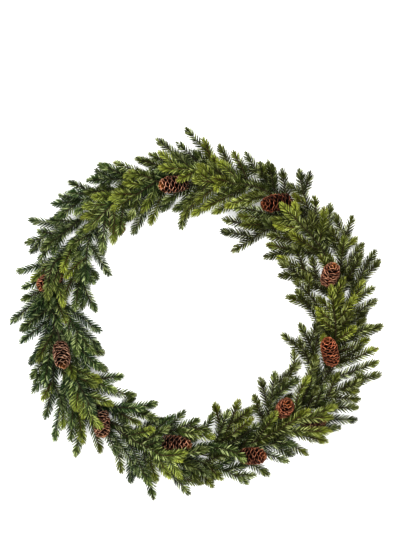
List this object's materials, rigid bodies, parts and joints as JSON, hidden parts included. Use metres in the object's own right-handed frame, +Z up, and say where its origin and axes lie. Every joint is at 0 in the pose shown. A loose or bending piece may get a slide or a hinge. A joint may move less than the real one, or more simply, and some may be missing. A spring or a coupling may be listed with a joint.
{
  "type": "evergreen wreath",
  "caption": "Fresh evergreen wreath of spruce sprays wired to a ring of wire, with open pine cones among the foliage and a round opening in the middle.",
  "frame": {"origin": "the middle of the wreath on the surface it lies on: bottom centre of the whole object", "axes": "+Z up out of the front of the wreath, which lies on its back; +Y towards the top of the wreath as it would hang; +X to the viewer's right; the sprays point anticlockwise seen from above"},
  "size_m": [0.7712, 0.7641, 0.0986],
  "materials": {
    "new_spruce": "fresh green needles on brown twigs, satin",
    "old_spruce": "dark blue-green needles on brown twigs, satin",
    "cone_scales": "dry reddish-brown scales, matt",
    "ring_wire": "dark steel wire",
    "binding_wire": "green enamelled wire"
  },
  "bodies": {
    "root": {"binding_wire": "binding_wire", "cone_01": "cone_scales", "cone_02": "cone_scales", "cone_03": "cone_scales", "cone_04": "cone_scales", "cone_05": "cone_scales", "cone_06": "cone_scales", "cone_07": "cone_scales", "cone_08": "cone_scales", "cone_09": "cone_scales", "cone_10": "cone_scales", "cone_11": "cone_scales", "cone_12": "cone_scales", "ring_frame": "ring_wire", "spray_inner_00": "old_spruce", "spray_inner_01": "old_spruce", "spray_inner_02": "old_spruce", "spray_inner_04": "old_spruce", "spray_inner_05": "old_spruce", "spray_inner_07": "old_spruce", "spray_inner_08": "old_spruce", "spray_inner_09": "old_spruce", "spray_inner_10": "old_spruce", "spray_inner_11": "old_spruce", "spray_inner_12": "old_spruce", "spray_inner_13": "old_spruce", "spray_inner_15": "old_spruce", "spray_inner_16": "old_spruce", "spray_inner_18": "old_spruce", "spray_inner_19": "old_spruce", "spray_outer_00": "old_spruce", "spray_outer_01": "old_spruce", "spray_outer_02": "old_spruce", "spray_outer_03": "old_spruce", "spray_outer_04": "old_spruce", "spray_outer_05": "old_spruce", "spray_outer_06": "old_spruce", "spray_outer_07": "old_spruce", "spray_outer_08": "old_spruce", "spray_outer_09": "old_spruce", "spray_outer_10": "old_spruce", "spray_outer_11": "old_spruce", "spray_outer_12": "old_spruce", "spray_outer_13": "old_spruce", "spray_outer_14": "old_spruce", "spray_outer_15": "old_spruce", "spray_outer_16": "old_spruce", "spray_outer_17": "old_spruce", "spray_outer_18": "old_spruce", "spray_outer_19": "old_spruce", "spray_top_01": "new_spruce", "spray_top_03": "new_spruce", "spray_top_04": "new_spruce", "spray_top_05": "new_spruce", "spray_top_06": "new_spruce", "spray_top_08": "new_spruce", "spray_top_10": "new_spruce", "spray_top_13": "new_spruce", "spray_top_16": "new_spruce", "spray_top_19": "new_spruce"}
  },
  "joints": []
}
